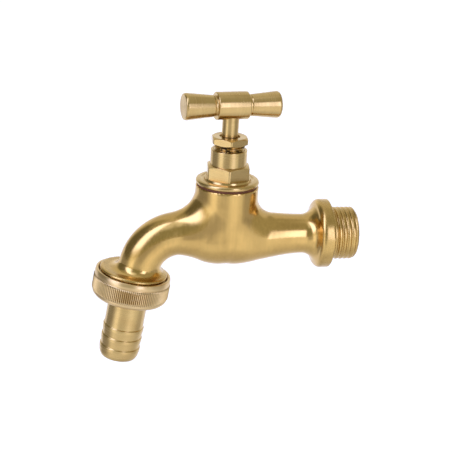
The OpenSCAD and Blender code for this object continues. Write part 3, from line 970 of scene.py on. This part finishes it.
def painted_groove_shade(tree, parts, colour):
    """Painted shade in the grooves of the knurl, where the colour is darkened."""
    angle = number(tree, "ARCTAN2", parts.outputs["Y"], parts.outputs["X"])
    ridge = number(tree, "COSINE", number(tree, "MULTIPLY", angle, KNURLS))
    groove = number(tree, "MULTIPLY", ridge, -1.0)
    edge = 0.3 * MM
    zone = between(tree, parts.outputs["Z"], KNURL_LOW * MM, edge, KNURL_HIGH * MM, edge)
    depth = number(tree, "MULTIPLY", zone, step_up(tree, groove, -0.6, 1.0))
    return colour_blend(tree, colour, number(tree, "MULTIPLY", depth, 0.6), GREASE_AND_SHADE)


def plain(name, colour, roughness, metallic=0.0):
    """A quiet material for pieces inside the tap: mottled colour and a grain of its own."""
    material, tree, shader = nodes_of(name)
    shader.inputs["Metallic"].default_value = metallic
    even = coordinates(tree)
    stops = [(NOISE_LOW, shade(colour, 0.8)), (NOISE_HIGH, shade(colour, 1.15))]
    link(tree, ramp(tree, noise(tree, even, 700, 4), stops), shader.inputs["Base Color"])
    grain = noise(tree, even, 1500, 2)
    link(tree, spread(tree, grain, roughness - 0.05, roughness + 0.08), shader.inputs["Roughness"])
    link(tree, bump(tree, noise(tree, even, 2500, 3), 0.25, 0.00005), shader.inputs["Normal"])
    return material


# ---------------------------------------------------------------- the pieces on their bodies

cast = cast_brass()
machined = machined_brass()
turned_bar = turned_brass("turned_brass", BAR_BRASS, BAR_GLOSS)
# The nut's knurl gets painted shade in its grooves.
turned_nut = turned_brass("turned_nut_brass", NUT_BRASS, NUT_GLOSS, painted_groove_shade)
turned_gland = turned_brass("turned_gland_brass", BAR_BRASS, BAR_GLOSS, greasy_thread)
pieces = [
    (body_piece(cast, machined), "tap", ["body"], "cast_brass"),
    (bonnet_piece(turned_bar), "tap", ["bonnet"], "turned_brass"),
    (gland_piece(turned_gland), "tap", ["gland_screw"], "turned_brass"),
    (spindle_piece(turned_bar), "turning", ["spindle"], "turned_brass"),
    (handle_piece(turned_bar), "turning", ["handle_bar"], "turned_brass"),
    (nut_piece(turned_nut), "nut", ["union_nut"], "turned_brass"),
    (tail_piece(turned_bar), "tail", ["hose_tail"], "turned_brass"),
]
for piece, rides_on, stands_for, finish_slot in pieces:
    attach(piece, rides_on)
    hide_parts(*stands_for)

# The small inner pieces keep their CAD meshes.
dull_brass = plain("machined_brass", shade(BRASS, 0.9), 0.35, 1.0)
inner = {
    "gland_washer": dull_brass,
    "jumper": dull_brass,
    "washer_nut": dull_brass,
    "jumper_clip": plain("spring_wire", (0.55, 0.56, 0.58), 0.25, 1.0),
    "seat_washer": plain("black_rubber", (0.02, 0.02, 0.02), 0.6),
    "tail_seal": plain("black_rubber_seal", (0.02, 0.02, 0.02), 0.6),
    "bonnet_gasket": plain("vulcanised_fibre", (0.13, 0.04, 0.012), 0.8),
    "packing_ring_upper": plain("ptfe_upper", (0.8, 0.8, 0.76), 0.45),
    "packing_ring_lower": plain("ptfe_lower", (0.8, 0.8, 0.76), 0.45),
}
for node, material in inner.items():
    mesh = frame["nodes"][node].data
    mesh.materials.clear()
    mesh.materials.append(material)


# ---------------------------------------------------------------- stage, lights and camera

scene = bpy.context.scene
scene.view_settings.view_transform = "Standard"
scene.view_settings.look = "None"


def bearing_of(tree, parts):
    """Compass bearing in degrees: 0 in front, at -Y, and 90 towards +X."""
    front = number(tree, "MULTIPLY", parts.outputs["Y"], -1.0)
    return number(tree, "DEGREES", number(tree, "ARCTAN2", parts.outputs["X"], front))


def grey(value):
    """A neutral light of this strength, as a colour."""
    return (value, value, value, 1)


# Each area of the studio round the object: its bearings, from and to, each with the softness of its
# edge, its heights above the horizon in the same way, all in degrees, and then its light.
ROOM = (0.51, 0.51, 0.44, 1)
STUDIO = [
    ("ceiling", (-190, 1, 190, 1), (72, 14, 95, 1), grey(0.75)),
    ("back_wall", (138, 20, 190, 1), (-95, 1, 80, 20), grey(0.82)),
    ("back_wall_left", (-190, 1, -148, 14), (-95, 1, 80, 14), grey(0.82)),
    ("backdrop", (150, 20, 190, 1), (-95, 1, 18, 14), grey(1.1)),
    ("backdrop_left", (-190, 1, -156, 14), (-95, 1, 18, 14), grey(1.1)),
    ("right_wall", (104, 14, 150, 14), (-16, 14, 32, 14), grey(0.85)),
    ("right_front", (28, 10, 58, 14), (-14, 8, 5, 12), grey(0.8)),
    ("dark_side", (-138, 12, -80, 22), (-30, 10, 52, 16), (0.2, 0.2, 0.165, 1)),
    ("camera_side", (-42, 10, 4, 10), (8, 12, 66, 14), (0.39, 0.405, 0.33, 1)),
    ("softbox_foot", (-76, 16, -42, 16), (-22, 6, 14, 14), grey(1.1)),
    ("softbox_spill", (-60, 20, -8, 20), (50, 20, 84, 16), (1.1, 1.2, 1.5, 1)),
    ("softbox", (-80, 16, -46, 18), (14, 16, 77, 18), (2.9, 3.15, 5.6, 1)),
    ("strip_light", (12, 9, 31, 9), (-9, 9, 34, 9), (2.9, 3.05, 5.0, 1)),
]


def studio_world():
    """Surroundings for the reflections and the light."""
    world = bpy.data.worlds.new("studio")
    scene.world = world
    world.use_nodes = True
    tree = world.node_tree
    place = tree.nodes.new("ShaderNodeTexCoord")
    parts = tree.nodes.new("ShaderNodeSeparateXYZ")
    link(tree, place.outputs["Generated"], parts.inputs["Vector"])
    bearing = bearing_of(tree, parts)
    height = number(tree, "DEGREES", number(tree, "ARCSINE", parts.outputs["Z"]))
    light = ROOM
    for _, sideways, upright, colour in STUDIO:
        area = number(tree, "MULTIPLY", between(tree, bearing, *sideways), between(tree, height, *upright))
        light = colour_blend(tree, light, area, colour)
    link(tree, light, tree.nodes["Background"].inputs["Color"])


studio_world()

FLOOR_DROP = 200
FLOOR_HALF = 30000
FLOOR_GLOW = 0.4
FLOOR_GREY = 0.78
# How light the floor is just under the tap: a painted shadow, which fades out between 0.05 and 0.3 m from
# the stem.
FLOOR_PAINTED_SHADOW = 0.7
# Each area of the floor with light or shade painted into its colour and glow, a share below 1 being
# painted shade and above 1 a painted pool of light: its bearings as above, the distances from the stem, in
# metres, over which it sets in, and its share of the light.
FLOOR_PAINTED_LIGHT_AND_SHADE = [
    ((-132, 10, -78, 32), (0.1, 0.45), 0.38),
    ((51, 14, 68, 14), (0.5, 0.9), 0.55),
    ((62, 38, 107, 14), (0.1, 0.45), 0.5),
    ((-70, 22, -38, 28), (0.4, 0.8), 1.5),
    ((6, 10, 34, 12), (0.2, 0.4), 1.2),
    ((-46, 12, -4, 8), (0.6, 1.0), 0.55),
]


def floor_piece():
    """A pale floor with a soft glow, below the tap, whose colour and glow carry a painted shadow under the
    tap and areas of painted light and painted shade round it.
    """
    material, tree, shader = nodes_of("pale_floor_painted_light_and_shade")
    place = tree.nodes.new("ShaderNodeTexCoord")
    moved = tree.nodes.new("ShaderNodeMapping")
    moved.inputs["Location"].default_value = (-stem_x * MM, 0, 0)
    link(tree, place.outputs["Object"], moved.inputs["Vector"])
    parts = tree.nodes.new("ShaderNodeSeparateXYZ")
    link(tree, moved.outputs["Vector"], parts.inputs["Vector"])
    bearing = bearing_of(tree, parts)
    away = tree.nodes.new("ShaderNodeVectorMath")
    away.operation = "LENGTH"
    link(tree, moved.outputs["Vector"], away.inputs[0])
    # The tone starts as the painted shadow under the tap, then takes the painted light and painted shade
    # of each floor area; it sets both the floor's colour and its glow.
    painted_floor_tone = blend(tree, FLOOR_PAINTED_SHADOW, step_up(tree, away.outputs["Value"], 0.05, 0.3), 1.0)
    # Painted shade and painted light in each floor area.
    for sideways, outwards, value in FLOOR_PAINTED_LIGHT_AND_SHADE:
        far = step_up(tree, away.outputs["Value"], *outwards)
        area = number(tree, "MULTIPLY", far, between(tree, bearing, *sideways))
        painted_floor_tone = number(tree, "MULTIPLY", painted_floor_tone, blend(tree, 1.0, area, value))
    link(tree, number(tree, "MULTIPLY", painted_floor_tone, FLOOR_GREY), shader.inputs["Base Color"])
    link(tree, painted_floor_tone, shader.inputs["Emission Color"])
    shader.inputs["Emission Strength"].default_value = FLOOR_GLOW
    shader.inputs["Roughness"].default_value = 0.8
    shader.inputs["Specular IOR Level"].default_value = 0.2
    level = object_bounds()[0].z / MM - FLOOR_DROP
    points = [(x * FLOOR_HALF, y * FLOOR_HALF, 0) for x, y in ((-1, -1), (1, -1), (1, 1), (-1, 1))]
    floor = make("floor", points, [(0, 1, 2, 3)], material, Matrix.Translation((0, 0, level * MM)))


floor_piece()

# The camera looks at VIEW_TARGET from VIEW_DISTANCE, both in millimetres.
VIEW_AZIMUTH = math.radians(-11.9)
VIEW_ELEVATION = math.radians(19.77)
VIEW_ROLL = math.radians(3.32)
VIEW_DISTANCE = 426.68
VIEW_TARGET = Vector((-40.7, 0, 3.42))
VIEW_LENS = 87.6

camera = bpy.data.cameras.new("camera")
camera.lens = VIEW_LENS
camera.sensor_width = 36
viewer = bpy.data.objects.new("camera", camera)
scene.collection.objects.link(viewer)
scene.camera = viewer
back = Vector((
    math.sin(VIEW_AZIMUTH) * math.cos(VIEW_ELEVATION),
    -math.cos(VIEW_AZIMUTH) * math.cos(VIEW_ELEVATION),
    math.sin(VIEW_ELEVATION),
))
viewer.location = (VIEW_TARGET + back * VIEW_DISTANCE) * MM
level_turn = (-back).to_track_quat("-Z", "Y").to_matrix().to_4x4()
viewer.rotation_euler = (level_turn @ Matrix.Rotation(VIEW_ROLL, 4, "Z")).to_euler()
camera.clip_start, camera.clip_end = 0.01, 100
